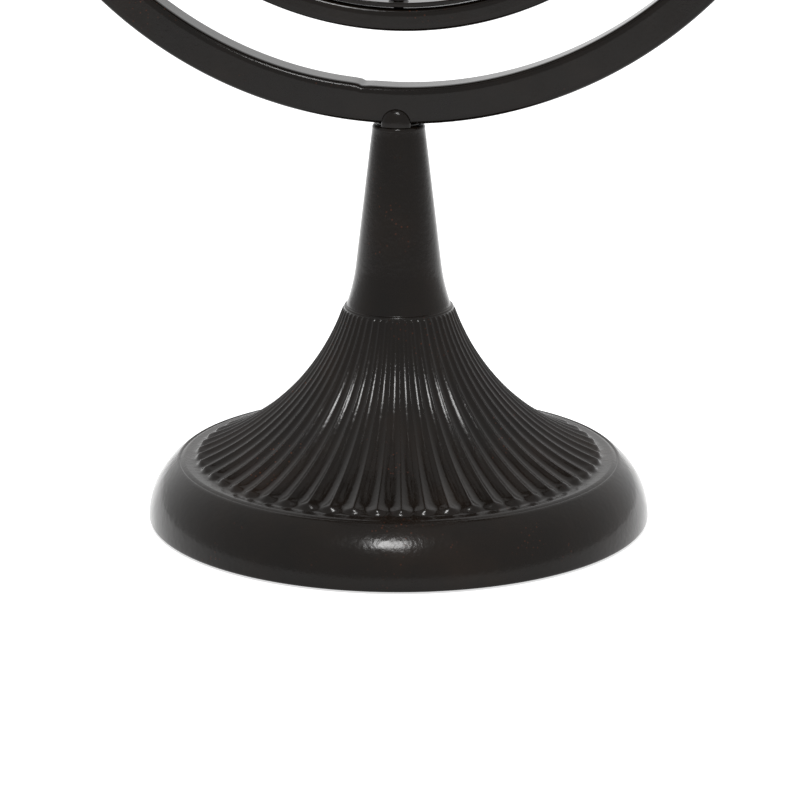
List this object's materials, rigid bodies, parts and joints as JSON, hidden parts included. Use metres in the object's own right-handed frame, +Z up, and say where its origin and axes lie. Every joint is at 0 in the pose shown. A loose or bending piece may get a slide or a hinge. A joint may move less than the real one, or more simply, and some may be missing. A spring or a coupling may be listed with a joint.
{
  "type": "armillary sphere",
  "caption": "Armillary sphere of nested painted metal rings that turn about crossed pivots, on a fluted trumpet base with a tapered neck.",
  "frame": {"origin": "on the axis of the base, on the surface that it stands on", "axes": "+Z up; front is -Y; the fixed meridian ring lies in the XZ plane and the middle ring turns about X"},
  "size_m": [0.268, 0.188, 0.3828],
  "materials": {
    "dark_paint": "satin dark espresso paint over cast and formed iron, fine orange peel",
    "zinc_steel": "zinc plated fasteners hidden under the base",
    "felt": "black wool felt"
  },
  "bodies": {
    "stand": {"base_shell": "dark_paint", "felt_pads": "felt", "fender_washer": "zinc_steel", "lock_washer": "zinc_steel", "rod_nut": "zinc_steel", "tie_rod": "zinc_steel", "neck_sleeve": "dark_paint", "ring_post": "dark_paint", "meridian_ring": "dark_paint", "left_pivot_pin": "dark_paint", "right_pivot_pin": "dark_paint", "left_spacer": "dark_paint", "right_spacer": "dark_paint"},
    "middle": {"middle_ring": "dark_paint", "upper_carrier_pin": "dark_paint", "lower_carrier_pin": "dark_paint"},
    "inner": {"inner_ring": "dark_paint", "equator_band": "dark_paint", "ecliptic_band": "dark_paint", "band_rivets": "dark_paint", "polar_rod": "dark_paint", "polar_rod_nuts": "dark_paint", "arrow_head": "dark_paint", "arrow_fletching": "dark_paint", "globe_collars": "dark_paint"},
    "globe": {"globe": "dark_paint"}
  },
  "joints": [
    {"name": "middle_ring_turn", "type": "hinge", "parent": "stand", "child": "middle", "pos_m": [0, 0, 0.2525], "axis": [1, 0, 0], "continuous": true},
    {"name": "inner_ring_turn", "type": "hinge", "parent": "middle", "child": "inner", "pos_m": [0, 0, 0.2525], "axis": [0, 0, 1], "continuous": true},
    {"name": "globe_spin", "type": "hinge", "parent": "inner", "child": "globe", "pos_m": [0, 0, 0.2525], "axis": [0.3971, 0, 0.9178], "continuous": true}
  ]
}
